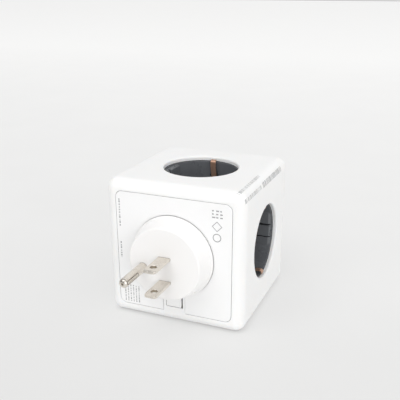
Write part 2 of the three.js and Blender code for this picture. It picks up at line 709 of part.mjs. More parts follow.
function hook(root) {
  const notchBack = BOLT_BACK + FIT;
  return slabYZ(
    [
      [root - 1, HOOK_LOW],
      [HOOK_NOTCH_FRONT, HOOK_LOW],
      [HOOK_NOTCH_FRONT, HOOK_LOW + HOOK_NOTCH],
      [notchBack, HOOK_LOW + HOOK_NOTCH],
      [notchBack, HOOK_LOW],
      [HOOK_END, HOOK_LOW + (HOOK_END - notchBack) / 2],
      [HOOK_END, HOOK_HIGH],
      [root - 1, HOOK_HIGH],
    ],
    HOOK_HALF,
  );
}

// Slots in the connector block: wide behind, for a contact, and narrow at the front wall, for a pin.
function contactSlots(front) {
  const blockWall = 0.9;
  const bore = CONTACT_WALL + FIT + GAP;
  return Object.values(INLET_PINS).flatMap(([x, z]) => [
    box(around(x, PIN_HALF_X + bore), [front - 1, BLOCK_END - blockWall], around(z, PIN_HALF_Z + bore)),
    box(around(x, PIN_HALF_X + FIT), [front, BLOCK_END + 1], around(z, PIN_HALF_Z + FIT)),
  ]);
}

// Plug contact: a rectangular tube that grips one inlet pin.
function plugContact([x, z]) {
  const end = BLOCK_END - CONTACT_WALL - 0.1;
  const outside = FIT + CONTACT_WALL;
  const tube = box(around(x, PIN_HALF_X + outside), [CONTACT_FRONT, end], around(z, PIN_HALF_Z + outside));
  const bore = box(around(x, PIN_HALF_X + FIT), [CONTACT_FRONT - 1, end + 1], around(z, PIN_HALF_Z + FIT));
  return cut(tube, [bore]);
}

// Release button: a flush face, a flange that keeps it behind the tongue and a wedge at the back.
function releaseButton() {
  const height = [BUTTON_BOTTOM, BUTTON_TOP];
  const face = box(around(0, BUTTON_HALF), [-HALF, BUTTON_BACK], height);
  const flange = box(around(0, BUTTON_HALF + 1), [BUTTON_BACK - 1, BUTTON_BACK], height);
  const wedgeTop = BUTTON_TOP - FIT;
  const wedge = slabYZ(
    [
      [BUTTON_BACK - 1, wedgeTop - WEDGE_LENGTH],
      [BUTTON_BACK, wedgeTop - WEDGE_LENGTH],
      [BUTTON_BACK + WEDGE_LENGTH, wedgeTop],
      [BUTTON_BACK - 1, wedgeTop],
    ],
    WEDGE_HALF,
  );
  return joined([face, flange, wedge]);
}

// Latch bolt: its ramp runs parallel to the button's wedge, a small gap below it.
function latchBolt() {
  const rampFoot = BOLT_TOP + BOLT_FRONT - BOLT_RAMP_TOP;
  return slabYZ(
    [
      [BOLT_FRONT, BOLT_BOTTOM],
      [BOLT_BACK, BOLT_BOTTOM],
      [BOLT_BACK, BOLT_TOP],
      [BOLT_RAMP_TOP, BOLT_TOP],
      [BOLT_FRONT, rampFoot],
    ],
    BUTTON_HALF,
  );
}

class Helix extends THREE.Curve {
  getPoint(t, target = new THREE.Vector3()) {
    const angle = t * SPRING_TURNS * 2 * Math.PI;
    const low = -INNER + GAP + SPRING_WIRE / 2;
    const high = BOLT_BOTTOM - GAP - SPRING_WIRE / 2;
    return target.set(
      SPRING_RADIUS * Math.cos(angle),
      SPRING_Y + SPRING_RADIUS * Math.sin(angle),
      low + t * (high - low),
    );
  }
}

function latchSpring() {
  const wire = new THREE.Shape().absarc(0, 0, SPRING_WIRE / 2, 0, 2 * Math.PI);
  const steps = SPRING_TURNS * SMALL_ROUND;
  return solid(new THREE.ExtrudeGeometry(wire, { steps, extrudePath: new Helix(), curveSegments: 3 }));
}

// The cube's group holds every piece in the cube's frame, and stands one plug depth behind the origin.
const cube = new THREE.Group();
cube.position.set(0, HALF + PLUG_DEPTH, 0);

cube.add(piece("housing", housing(), WHITE));
cube.add(piece("plug_face_plate", plugFacePlate(), WHITE));
for (const [name, axes] of Object.entries(SOCKETS)) cube.add(socket(name, axes));

cube.add(piece("live_bus_bar", busBar(liveBoxes()), BRASS));
cube.add(piece("neutral_bus_bar", busBar(neutralBoxes()), BRASS));
cube.add(piece("earth_bus_bar", busBar(earthBoxes()), COPPER));
cube.add(piece("carrier_front", carrier([CARRIER_FRONT, -CARRIER_SPLIT]), CARRIER));
cube.add(piece("carrier_rear", carrier([CARRIER_SPLIT, CARRIER_HALF]), CARRIER));

cube.add(piece("inlet_body", inletBody(), CARRIER));
for (const [name, place] of Object.entries(INLET_PINS)) {
  cube.add(piece(`inlet_${name}_pin`, inletPin(place), NICKEL));
  cube.add(piece(`plug_${name}_contact`, plugContact(place), BRASS));
}
cube.add(piece("inlet_screw_left", inletScrew(-EAR_X), STEEL));
cube.add(piece("inlet_screw_right", inletScrew(EAR_X), STEEL));

cube.add(piece("plug_shell", plugShell(), WHITE));
cube.add(piece("plug_cover", plugCover(), WHITE));
cube.add(piece("line_blade", blade(BLADES.line), NICKEL));
cube.add(piece("neutral_blade", blade(BLADES.neutral), NICKEL));
cube.add(piece("ground_pin", groundPin(), NICKEL));
PLUG_SCREWS.forEach((place, i) => cube.add(piece(`plug_screw_${i + 1}`, plugScrew(place), STEEL)));

cube.add(piece("release_button", releaseButton(), WHITE));
cube.add(piece("latch_bolt", latchBolt(), CARRIER));
cube.add(piece("latch_spring", latchSpring(), STEEL));

const adapter = new THREE.Group();
adapter.add(cube);

export default adapter;
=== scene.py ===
import itertools
import json
import math

import bmesh
import bpy
from mathutils import Matrix, Vector


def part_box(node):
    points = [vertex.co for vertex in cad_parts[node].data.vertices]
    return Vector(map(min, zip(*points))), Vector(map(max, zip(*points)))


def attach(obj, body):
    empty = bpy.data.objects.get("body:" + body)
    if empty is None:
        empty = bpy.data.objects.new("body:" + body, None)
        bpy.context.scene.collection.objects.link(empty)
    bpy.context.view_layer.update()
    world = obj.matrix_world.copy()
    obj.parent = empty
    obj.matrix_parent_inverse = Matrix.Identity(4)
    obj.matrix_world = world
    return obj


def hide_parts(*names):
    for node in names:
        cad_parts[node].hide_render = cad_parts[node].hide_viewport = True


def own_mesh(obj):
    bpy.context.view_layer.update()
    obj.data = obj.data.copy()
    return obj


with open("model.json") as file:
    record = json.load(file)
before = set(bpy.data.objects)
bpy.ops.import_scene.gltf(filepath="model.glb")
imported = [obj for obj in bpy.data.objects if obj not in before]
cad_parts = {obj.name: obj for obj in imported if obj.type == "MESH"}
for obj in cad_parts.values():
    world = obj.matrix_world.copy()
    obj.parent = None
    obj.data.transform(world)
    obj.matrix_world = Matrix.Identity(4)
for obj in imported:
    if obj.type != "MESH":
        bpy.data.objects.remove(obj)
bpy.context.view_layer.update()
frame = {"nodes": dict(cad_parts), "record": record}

MM = 0.001
X, Y, Z = Vector((1, 0, 0)), Vector((0, 1, 0)), Vector((0, 0, 1))

# ---------------------------------------------------------------- places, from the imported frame
housing_low, housing_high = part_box("housing")
CENTRE = (housing_low + housing_high) / 2


def span(node):
    """A CAD node's lowest and highest corners, in millimetres from the cube's centre."""
    return [(corner - CENTRE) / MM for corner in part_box(node)]


HALF = span("housing")[1].x
WELL_LOW, WELL_HIGH = span("well_top")
SHUTTER_LOW, SHUTTER_HIGH = span("shutter_top")
CLIP_LOW, CLIP_HIGH = span("earth_clip_top")
BUTTON_LOW, BUTTON_HIGH = span("release_button")
SPRING_LOW, SPRING_HIGH = span("latch_spring")

BODY_OF = {n: body for body, nodes in frame["record"]["behaviour"]["bodies"].items() for n in nodes}
SLOT_OF = {part["node"]: part["material_slot"] for part in frame["record"]["subparts"]}

# Each side's own axes: across, up and outward. A socket's pins stand along the first, its earth clip along
# the second.
SIDES = {
    "top": (X, Y, Z),
    "bottom": (X, -Y, -Z),
    "right": (-Y, -Z, X),
    "left": (-Y, Z, -X),
    "rear": (Z, X, Y),
    "front": (X, Z, -Y),
}
SOCKETS = [side for side in SIDES if side != "front"]

# ---------------------------------------------------------------- driving sizes, in millimetres
# Clearances between pieces; EMBED is how far a joined shape reaches into its neighbour.
GAP = 0.3
SEAM = 0.17
TIGHT_SEAM = 0.06
EMBED = 1.0
HAIR = 0.02

# Housing: its walls lie between INNER and the cube's half width.
EDGE_RADIUS = 5.5
EDGE_STEPS = 12
INNER = 35.2
INNER_RADIUS = 2.7
INNER_STEPS = 4
MOUTH_RADIUS = 20.0
MOUTH_RIM = 1.0
MOUTH_STEPS = 6
GUIDE_X = 5.1
GUIDE_DEPTH = -28.6
GUIDE_TOP = -24.5
GUIDE_HALF_X = 0.6
GUIDE_HALF_DEPTH = 2.9
SEAT_RADIUS = 1.3
SEAT_HEIGHT = 3.7

# Plug face plate: its outline, the tongue's notch, the hook hole, the inlet's hole and the snap arms.
PLATE_HALF = 31.35
PLATE_CORNER = 3.5
PLATE_RIM = 0.18
PLATE_GROOVE_OUT = 0.18
PLATE_GROOVE_IN = 0.5
TONGUE_HALF = 6.1
TONGUE_TOP = -20.7
HOOK_HOLE_HALF = 3.4
HOOK_HOLE_TOP = -16.6
INLET_HALF_X = 12.3
INLET_HALF_Z = 8.5
INLET_CORNER = 0.8
INLET_Z = 1.0
EAR_X = 17.5
EAR_RADIUS = 2.8
EAR_BORE = 1.4
EAR_BACK = 30.0
SNAP_AT = 18.0
SNAP_HALF = 3.0
SNAP_INNER = 29.6
SNAP_OUTER = 31.0
SNAP_BACK = 31.2
BARB_REACH = 32.3
BARB_BACK = 33.0
BARB_FRONT = 34.8

# Release button and latch.
BUTTON_FACE = 4.2
BUTTON_SHIFT = -0.2
BUTTON_RIM = 0.45
BUTTON_BACK = 33.9
BUTTON_FLANGE = 1.0
SLOT_GAP = 0.75
SLOT_FOOT_GAP = 0.12
SPRING_TURNS = 4
SPRING_WIRE = 0.25
WEDGE = 5.0
WEDGE_HALF = 2.8
WEDGE_DROP = 0.4

# Socket wells and what stands in them; heights are measured from the cube's centre.
WELL_RADIUS = 19.7
WELL_OUTSIDE = 21.0
WELL_FOOT = 18.2
WELL_FLANGE = 1.2
FLOOR_FACE = 20.0
FLOOR_BACK = 18.4
FLOOR_CHAMFER = 2.4
PIN_OFFSET = 9.5
PIN_HOLE = 2.8
FLAT_FACE = 17.1
FLAT_SLOPE = 0.7
FLAT_STEPS = 16
RIB_FACE = 16.3
RIB_HALF = 3.2
RIB_SHIFT = 1.0
RIB_TOP = 34.4
RIB_RIM = 0.6
LEAD_IN = 1.1
GROOVE_HALF = 0.4
GROOVE_DEPTH = 1.2
GROOVE_FOOT = 1.5
PIVOT_RADIUS = 1.4
PIVOT_PLAY = 0.4
SHUTTER_RIM = 0.25
WINDOW_HALF = 2.5
WINDOW_FOOT = 18.0
WINDOW_TOP = 27.7
WINDOW_NEAR = 16.8
WINDOW_FAR = 22.2
CLIP_THICK = 0.7
CLIP_OFF_WALL = 0.35

# Plug, prongs and screws; prong lengths are measured from the plug's face.
PLUG_DEPTH = 11.0
PLUG_RIM = 22.0
PLUG_RIM_THICK = 1.3
PLUG_FACE_RADIUS = 18.9
PLUG_WALL = 2.0
COVER_RADIUS = 20.3
COVER_THICK = 2.2
POST_RADIUS = 2.6
POST_BORE = 1.5
BLADE_X = 0.4
BLADE_Z = (3.45, -9.25)
BLADE_HALF_WIDTH = 3.175
BLADE_HALF_THICK = 0.76
BLADE_ROOT_HALF = 4.5
BLADE_LENGTH = 17.0
BLADE_CORNER = 1.7
BLADE_TIP_STEPS = 10
BLADE_THINNING = 1.9
BLADE_TIP_LOSS = 0.3
BLADE_HOLE = 1.6
BLADE_HOLE_AT = 11.9
BLADE_HOLE_FLARE = 0.18
GROUND_X = -11.5
GROUND_Z = -2.9
GROUND_RADIUS = 2.38
GROUND_LENGTH = 21.0
GROUND_COLLAR = 1.2
DIMPLE = 0.5
DIMPLE_DEPTH = 0.8
PIN_SEAM_AT = 6.6
PIN_SEAM_DEPTH = 0.75
PIN_SEAM_TURN = math.radians(8)
ROOT_LENGTH = 3.0
PLUG_SCREWS = ((0, 15.5), (-13, -11.5), (13, -11.5))
SCREW_HEAD = 1.1
CROSS_LONG = 1.2
CROSS_WIDE = 0.28
CROSS_DEPTH = 0.6
INLET_SCREW_RADII = (2.4, 1.2)
PLUG_SCREW_RADII = (2.1, 1.1)

# Fineness of the meshes.
ARC_STEP = math.radians(10)
RIM_STEPS = 4
FINE_ROUND = 192
ROUND = 96
SMALL_ROUND = 40
WIRE_ROUND = 12
WELD = 1e-4
SHARP_ANGLE = math.radians(32)
MITRE_LIMIT = 0.5
CAD_WELD = 0.001
CAD_BEVEL = 0.15
CAD_BEVEL_ANGLE = math.radians(40)


# ---------------------------------------------------------------- flat outlines
def corner_arc(corner, before, after, radius):
    """The arc that rounds a corner; before and after point from it along its two sides."""
    half_angle = before.angle(after) / 2
    centre = corner + (before + after).normalized() * radius / math.sin(half_angle)
    start = corner + before * radius / math.tan(half_angle) - centre
    sweep = math.pi - 2 * half_angle
    steps = max(2, math.ceil(sweep / ARC_STEP))
    if before.cross(after) > 0:
        sweep = -sweep
    return [centre + Matrix.Rotation(sweep * k / steps, 2) @ start for k in range(steps + 1)]


def rounded(corners, closed=True):
    """A flat path through (x, y, radius) corners, each rounded by an arc; radius 0 stays sharp."""
    points = []
    last = len(corners) - 1
    for i, (x, y, radius) in enumerate(corners):
        corner = Vector((x, y))
        if radius == 0 or (not closed and i in (0, last)):
            points.append(corner)
            continue
        before = (Vector(corners[i - 1][:2]) - corner).normalized()
        after = (Vector(corners[(i + 1) % len(corners)][:2]) - corner).normalized()
        points += corner_arc(corner, before, after, radius)
    return points


def circle(radius, x=0.0, y=0.0, segments=ROUND):
    angles = [2 * math.pi * k / segments for k in range(segments)]
    return [Vector((x + radius * math.cos(a), y + radius * math.sin(a))) for a in angles]


def rectangle(half_x, half_y, radius=0.0, x=0.0, y=0.0):
    signs = ((1, -1), (1, 1), (-1, 1), (-1, -1))
    return rounded([(x + sx * half_x, y + sy * half_y, radius) for sx, sy in signs])


def inset(loop, distance):
    """A closed flat loop moved to its left by a distance, with mitred corners."""
    points = []
    for i, point in enumerate(loop):
        into = (point - loop[i - 1]).normalized()
        out = (loop[(i + 1) % len(loop)] - point).normalized()
        along = (into + out).normalized()
        left = Vector((-along.y, along.x))
        points.append(point + left * distance / max(along.dot(out), MITRE_LIMIT))
    return points


def anticlockwise(loop):
    return sum(a.cross(b) for a, b in zip(loop, loop[1:] + loop[:1])) > 0


def quarter(steps):
    """Pairs that run round a quarter circle: how far in from the side, and how far down from the top."""
    turns = [math.pi / 2 * k / steps for k in range(steps + 1)]
    return [(1 - math.sin(a), 1 - math.cos(a)) for a in turns]


# ---------------------------------------------------------------- solids
def skin(bm, rings, closed=True):
    """Joins rings of points with four-sided faces and returns the rings' vertices, a row for each ring."""
    rows = [[bm.verts.new(point) for point in ring] for ring in rings]
    for low, high in itertools.pairwise(rows):
        for i in range(len(low) if closed else len(low) - 1):
            j = (i + 1) % len(low)
            bm.faces.new((low[i], low[j], high[j], high[i]))
    return rows


def fill(bm, rows):
    """Fills the flat region between closed rows of vertices: the first is its edge, the others holes."""
    edges = []
    for row in rows:
        for a, b in zip(row, row[1:] + row[:1]):
            edges.append(bm.edges.get((a, b)) or bm.edges.new((a, b)))
    bmesh.ops.triangle_fill(bm, use_beauty=True, use_dissolve=False, edges=edges)


def closed_solid(bm):
    """Welds the seams and turns every face outwards."""
    bmesh.ops.remove_doubles(bm, verts=bm.verts, dist=WELD)
    bmesh.ops.recalc_face_normals(bm, faces=bm.faces)
    if bm.calc_volume(signed=True) < 0:
        bmesh.ops.reverse_faces(bm, faces=bm.faces)
    return bm


def raised(loop, height):
    return [Vector((point.x, point.y, height)) for point in loop]


def rounded_end(height, rim):
    """How far in and how high each ring of a slab's end lies; the rim is positive at the low end."""
    if rim == 0:
        return [(0, height)]
    return [(abs(rim) * side, height + rim * down) for side, down in quarter(RIM_STEPS)]


def slab(loops, low, high, rim_low=0.0, rim_high=0.0):
    """A plate between two heights. The first loop is its outline, the others are holes; rims are rounded."""
    bm = bmesh.new()
    levels = rounded_end(low, rim_low) + rounded_end(high, -rim_high)[::-1]
    low_rows, high_rows = [], []
    for index, loop in enumerate(loops):
        outline = loop if anticlockwise(loop) == (index == 0) else loop[::-1]
        rows = skin(bm, [raised(inset(outline, side), height) for side, height in levels])
        low_rows.append(rows[0])
        high_rows.append(rows[-1])
    fill(bm, low_rows)
    fill(bm, high_rows)
    return closed_solid(bm)


def turned(profile, segments):
    """A (radius, height) profile turned about Z."""
    bm = bmesh.new()
    skin(bm, [raised(circle(point[0], segments=segments), point[1]) for point in profile])
    return closed_solid(bm)


def swept(path, section, side):
    """A closed flat section carried along a path; side is the direction of the section's second axis."""
    bm = bmesh.new()
    rings = []
    for i, point in enumerate(path):
        along = (path[min(i + 1, len(path) - 1)] - path[max(i - 1, 0)]).normalized()
        thick = side.cross(along).normalized()
        wide = along.cross(thick)
        rings.append([point + thick * p.x + wide * p.y for p in section])
    rows = skin(bm, rings)
    fill(bm, [rows[0]])
    fill(bm, [rows[-1]])
    return closed_solid(bm)


def lofted(levels):
    """A solid through flat loops at rising heights, given as (loop, height)."""
    bm = bmesh.new()
    rows = skin(bm, [raised(loop, height) for loop, height in levels])
    fill(bm, [rows[0]])
    fill(bm, [rows[-1]])
    return closed_solid(bm)


def placed(bm, matrix):
    """A solid moved by a matrix; a mirroring one also turns its faces round."""
    bm.transform(matrix)
    if matrix.determinant() < 0:
        bmesh.ops.reverse_faces(bm, faces=bm.faces)
    return bm


def moved(bm, x=0.0, y=0.0, z=0.0):
    return placed(bm, Matrix.Translation((x, y, z)))


def as_object(bm, name):
    mesh = bpy.data.meshes.new(name)
    bm.to_mesh(mesh)
    bm.free()
    made = bpy.data.objects.new(name, mesh)
    bpy.context.scene.collection.objects.link(made)
    return made


def boolean(body, tool, operation):
    """One solid cut by, or joined with, another."""
    target, cutter = as_object(body, "target"), as_object(tool, "cutter")
    modifier = target.modifiers.new("boolean", "BOOLEAN")
    modifier.object = cutter
    modifier.operation = operation
    modifier.solver = "MANIFOLD"
    done = target.evaluated_get(bpy.context.evaluated_depsgraph_get())
    result = bmesh.new()
    result.from_mesh(done.data)
    bmesh.ops.dissolve_degenerate(result, dist=WELD, edges=result.edges)
    for temporary in (target, cutter):
        mesh = temporary.data
        bpy.data.objects.remove(temporary)
        bpy.data.meshes.remove(mesh)
    return result


def cut(body, *tools):
    for tool in tools:
        body = boolean(body, tool, "DIFFERENCE")
    return body


def joined(body, *others):
    for other in others:
        body = boolean(body, other, "UNION")
    return body


def side_turn(side):
    """From a side's own axes to the cube's."""
    return Matrix(SIDES[side]).transposed().to_4x4()


# ---------------------------------------------------------------- housing
def cube_edges(bm, half, radius, steps):
    """The twelve rounded edges and eight rounded corners of a cube, without its flat sides."""
    flat = half - radius

    def direction(*shares):
        return Vector([math.sin(math.pi / 2 * share / steps) for share in shares]).normalized()

    for signs in itertools.product((-1, 1), repeat=3):
        verts = {}
        for i in range(steps + 1):
            for j in range(steps + 1 - i):
                away = direction(i, j, steps - i - j)
                verts[i, j] = bm.verts.new([s * (flat + radius * d) for s, d in zip(signs, away)])
        for i in range(steps):
            for j in range(steps - i):
                bm.faces.new((verts[i, j], verts[i + 1, j], verts[i, j + 1]))
                if i + j < steps - 1:
                    bm.faces.new((verts[i + 1, j], verts[i + 1, j + 1], verts[i, j + 1]))
    for axis, signs in itertools.product(range(3), itertools.product((-1, 1), repeat=2)):
        rings = []
        for end in (-flat, flat):
            ring = []
            for i in range(steps + 1):
                away = direction(i, steps - i)
                point = [signs[0] * (flat + radius * away[0]), signs[1] * (flat + radius * away[1])]
                point.insert(axis, end)
                ring.append(point)
            rings.append(ring)
        skin(bm, rings, closed=False)


def front_opening():
    """The square opening for the plug face plate, with the tongue and its button slot standing into it."""
    half = PLATE_HALF + SEAM
    corner = PLATE_CORNER + SEAM
    slot_foot = BUTTON_LOW.z - SLOT_FOOT_GAP

    def right_side(slot_half):
        return [
            (slot_half, slot_foot, 0.3),
            (slot_half, TONGUE_TOP, 0.3),
            (TONGUE_HALF, TONGUE_TOP, 0.4),
            (TONGUE_HALF, -half, 0.3),
            (half, -half, corner),
            (half, half, corner),
        ]

    left_side = [(-x, y, radius) for x, y, radius in right_side(BUTTON_FACE + GAP)[::-1]]
    return rounded(right_side(BUTTON_FACE + SLOT_GAP) + left_side)


def housing():
    """The cube's shell: rounded outside and inside, with an opening through each of its six sides."""
    bm = bmesh.new()
    cube_edges(bm, HALF, EDGE_RADIUS, EDGE_STEPS)
    cube_edges(bm, INNER, INNER_RADIUS, INNER_STEPS)
    for side in SIDES:
        loop = front_opening() if side == "front" else circle(MOUTH_RADIUS, segments=FINE_ROUND)
        rim = PLATE_RIM if side == "front" else MOUTH_RIM
        turn = side_turn(side)
        levels = [(0, INNER)] + [(rim * away, HALF - rim * down) for away, down in quarter(MOUTH_STEPS)[::-1]]
        rows = skin(bm, [[turn @ p for p in raised(inset(loop, -away), h)] for away, h in levels])
        for row, half, radius in ((rows[0], INNER, INNER_RADIUS), (rows[-1], HALF, EDGE_RADIUS)):
            flat_side = raised(rectangle(half - radius, half - radius), half)
            fill(bm, [[bm.verts.new(turn @ p) for p in flat_side], row])
    shell = closed_solid(bm)
    return joined(shell, spring_seat(), *bolt_guides())


def spring_seat():
    """A stub on the housing's floor that the latch spring stands round."""
    corners = [(0, 0, 0), (SEAT_RADIUS, 0, 0), (SEAT_RADIUS, SEAT_HEIGHT, 0.3), (0, SEAT_HEIGHT, 0)]
    stub = turned(rounded(corners, closed=False), SMALL_ROUND)
    return moved(stub, y=(SPRING_LOW.y + SPRING_HIGH.y) / 2, z=-INNER - EMBED)


def bolt_guides():
    """Two ribs on the housing's floor that keep the latch bolt upright."""
    guides = []
    for side in (-1, 1):
        outline = rectangle(GUIDE_HALF_X, GUIDE_HALF_DEPTH, 0.3, side * GUIDE_X, GUIDE_DEPTH)
        guides.append(slab([outline], -INNER - EMBED, GUIDE_TOP, 0, 0.3))
    return guides


# ---------------------------------------------------------------- plug face plate
def plate_outline():
    """A rounded square with a notch for the tongue and, above it, the hook hole."""
    notch_top = TONGUE_TOP + GAP

    def right_side(notch):
        return [
            (HOOK_HOLE_HALF, HOOK_HOLE_TOP, 0.4),
            (HOOK_HOLE_HALF, notch_top, 0.3),
            (notch, notch_top, 0.4),
            (notch, -PLATE_HALF, 0.2),
            (PLATE_HALF, -PLATE_HALF, PLATE_CORNER),
            (PLATE_HALF, PLATE_HALF, PLATE_CORNER),
        ]

    left_side = [(-x, y, radius) for x, y, radius in right_side(TONGUE_HALF + SEAM)[::-1]]
    return rounded(right_side(TONGUE_HALF + TIGHT_SEAM) + left_side)


def plate():
    """The plate with its inlet hole, a fine groove round the plug, two screw bosses and the snap arms."""
    inlet_hole = rectangle(INLET_HALF_X, INLET_HALF_Z, INLET_CORNER, 0, INLET_Z)
    body = slab([plate_outline(), inlet_hole], INNER, HALF, 0, PLATE_RIM)
    bosses = []
    for x in (-EAR_X, EAR_X):
        loops = [circle(radius, x, INLET_Z, SMALL_ROUND) for radius in (EAR_RADIUS, EAR_BORE)]
        bosses.append(slab(loops, EAR_BACK, INNER + EMBED / 2, 0.2))
    ring = [circle(PLUG_RIM + PLATE_GROOVE_OUT), circle(PLUG_RIM - PLATE_GROOVE_IN)]
    groove = slab(ring, HALF - PLATE_GROOVE_IN, HALF + EMBED)
    return placed(joined(cut(body, groove), *bosses, *snap_arms()), side_turn("front"))


def snap_arms():
    """Two sprung arms on each side of the plate, with barbs that hold behind the housing's lip."""
    root = INNER + EMBED / 2
    barb = rounded([
        (SNAP_INNER, root, 0),
        (SNAP_INNER, SNAP_BACK, 0.4),
        (SNAP_OUTER, SNAP_BACK, 0.4),
        (BARB_REACH, BARB_BACK, 0.3),
        (BARB_REACH, BARB_FRONT, 0.2),
        (SNAP_OUTER, BARB_FRONT, 0.2),
        (SNAP_OUTER, root, 0),
    ])
    upright = Matrix((X, Z, -Y)).transposed().to_4x4()
    arms = []
    for turn in range(4):
        for middle in (-SNAP_AT, SNAP_AT):
            arm = placed(slab([barb], middle - SNAP_HALF, middle + SNAP_HALF, 0.2, 0.2), upright)
            arms.append(placed(arm, Matrix.Rotation(math.pi / 2 * turn, 4, "Z")))
    return arms


# ---------------------------------------------------------------- sockets, drawn facing +Z
def well_cup():
    """A round cup with a flange at its lip, a chamfered floor and the shutter's pivot under the floor."""
    lip = WELL_HIGH.z
    flange = WELL_HIGH.x
    pivot_end = WELL_LOW.z
    profile = [
        (0, pivot_end, 0),
        (PIVOT_RADIUS, pivot_end, 0.2),
        (PIVOT_RADIUS, FLOOR_BACK, 0.2),
        (WELL_FOOT, FLOOR_BACK, 1.0),
        (WELL_OUTSIDE, FLOOR_BACK + WELL_OUTSIDE - WELL_FOOT, 1.0),
        (WELL_OUTSIDE, lip - WELL_FLANGE, 0.3),
        (flange, lip - WELL_FLANGE, 0.3),
        (flange, lip, 0.2),
        (WELL_RADIUS, lip, 0.35),
        (WELL_RADIUS, FLOOR_FACE + FLOOR_CHAMFER, 1.2),
        (WELL_RADIUS - FLOOR_CHAMFER, FLOOR_FACE, 1.2),
        (0, FLOOR_FACE, 0),
    ]
    return turned(rounded(profile, closed=False), FINE_ROUND)


def well_guides():
    """The wall's two flats, each with a guide rib up its middle; their upper ends slope back to the wall."""
    guides = []
    outer = WELL_RADIUS + EMBED / 2
    for side in (-1, 1):
        guides.append(flat(side))
        outline = rectangle((outer - RIB_FACE) / 2, RIB_HALF, 0.3, side * (outer + RIB_FACE) / 2, RIB_SHIFT)
        guides.append(slab([outline], FLOOR_FACE - EMBED / 2, RIB_TOP, 0, RIB_RIM))
    return guides


def flat(side):
    """The part of the wall's circle beyond a straight chord, sloped back at its upper end."""
    radius = WELL_RADIUS + EMBED / 5
    reach = math.acos(FLAT_FACE / radius)
    foot = (FLAT_FACE, FLOOR_FACE - EMBED / 10)
    shoulder = (FLAT_FACE, RIB_TOP - LEAD_IN)
    top = (FLAT_FACE + FLAT_SLOPE, RIB_TOP)
    levels = []
    for face, height in (foot, shoulder, top):
        loop = []
        for k in range(FLAT_STEPS + 1):
            angle = reach * (2 * k / FLAT_STEPS - 1)
            loop.append(Vector((side * max(face, radius * math.cos(angle)), radius * math.sin(angle))))
        loop += [Vector((side * (face - HAIR), end * radius * math.sin(reach))) for end in (1, -1)]
        levels.append((loop, height))
    return lofted(levels)


def well_cutters():
    """Pin holes with a lead-in, clip windows, and the grooves beside each rib."""
    tools = []
    corners = [(0, -3, 0), (PIN_HOLE, -3, 0), (PIN_HOLE, -0.5, 0.1), (PIN_HOLE + 1, 0.5, 0), (0, 0.5, 0)]
    hole = rounded(corners, closed=False)
    tall, middle = (WINDOW_TOP - WINDOW_FOOT) / 2, (WINDOW_TOP + WINDOW_FOOT) / 2
    for side in (-1, 1):
        tools.append(moved(turned(hole, SMALL_ROUND), x=side * PIN_OFFSET, z=FLOOR_FACE))
        window = slab([rectangle(WINDOW_HALF, tall, 0.5, 0, middle)], WINDOW_NEAR, WINDOW_FAR)
        tools.append(placed(window, Matrix((X, Z, -side * Y)).transposed().to_4x4()))
        for edge in (-1, 1):
            y = RIB_SHIFT + edge * (RIB_HALF + GROOVE_HALF)
            outline = rectangle(GROOVE_DEPTH, GROOVE_HALF, 0.1, side * FLAT_FACE, y)
            tools.append(slab([outline], FLOOR_FACE + GROOVE_FOOT, RIB_TOP + 1))
    return tools


def well():
    return cut(joined(well_cup(), *well_guides()), *well_cutters())


def shutter():
    """A flat bar with round ends and a pivot hole."""
    outline = rectangle(SHUTTER_HIGH.x, SHUTTER_HIGH.y, SHUTTER_HIGH.y - HAIR / 2)
    pivot_hole = circle(PIVOT_RADIUS + PIVOT_PLAY, segments=SMALL_ROUND)
    return slab([outline, pivot_hole], SHUTTER_LOW.z, SHUTTER_HIGH.z, SHUTTER_RIM, SHUTTER_RIM)


def earth_clip():
    """A strap under the floor whose two ends come up through the windows and hook over at the mouth."""
    strap = CLIP_LOW.z + CLIP_THICK / 2
    wall = WELL_RADIUS + CLIP_OFF_WALL
    tip = CLIP_HIGH.z - CLIP_THICK / 2
    half = [
        (15.6, strap, 2.0),
        (wall, strap + 4.45, 2.5),
        (wall, 23.4, 6.0),
        (17.5, 32.6, 3.0),
        (17.4, tip - 0.1, 1.4),
        (19.0, tip - 0.2, 0),
    ]
    whole = [(-y, z, radius) for y, z, radius in half[::-1]] + half
    path = [Vector((0, point.x, point.y)) for point in rounded(whole, closed=False)]
    return swept(path, rectangle(CLIP_THICK / 2, CLIP_HIGH.x, 0.18), X)


# ---------------------------------------------------------------- plug, drawn facing the viewer
FACE = HALF + PLUG_DEPTH


def plug_shell():
    """A hollow cone with a low flange, posts for the cover's screws and slots for the prongs."""
    rebate = COVER_RADIUS + GAP
    seat = HALF + COVER_THICK + 2 * GAP
    back = HALF + GAP
    profile = [
        (0, FACE - PLUG_WALL, 0),
        (PLUG_FACE_RADIUS - 1.7, FACE - PLUG_WALL, 0.5),
        (rebate - 1.6, seat, 0.2),
        (rebate, seat, 0.1),
        (rebate, back, 0.1),
        (PLUG_RIM, back, 0.3),
        (PLUG_RIM, HALF + PLUG_RIM_THICK, 0.35),
        (PLUG_RIM - 0.75, HALF + PLUG_RIM_THICK + 0.1, 0.15),
        (PLUG_FACE_RADIUS + 0.15, FACE, 1.1),
        (0, FACE, 0),
    ]
    cup = turned(rounded(profile, closed=False), FINE_ROUND)
    posts = []
    for x, z in PLUG_SCREWS:
        loops = [circle(radius, x, z, SMALL_ROUND) for radius in (POST_RADIUS, POST_BORE)]
        posts.append(slab(loops, seat, FACE - PLUG_WALL + EMBED / 2, 0.2))
    return placed(cut(joined(cup, *posts), *prong_slots()), side_turn("front"))


def prong_slots():
    half_width, half_thick = BLADE_HALF_WIDTH + TIGHT_SEAM, BLADE_HALF_THICK + TIGHT_SEAM
    loops = [rectangle(half_width, half_thick, 0.3, BLADE_X, z) for z in BLADE_Z]
    loops.append(circle(GROUND_RADIUS + TIGHT_SEAM, GROUND_X, GROUND_Z, SMALL_ROUND))
    return [slab([loop], FACE - PLUG_WALL - 1, FACE + 1) for loop in loops]


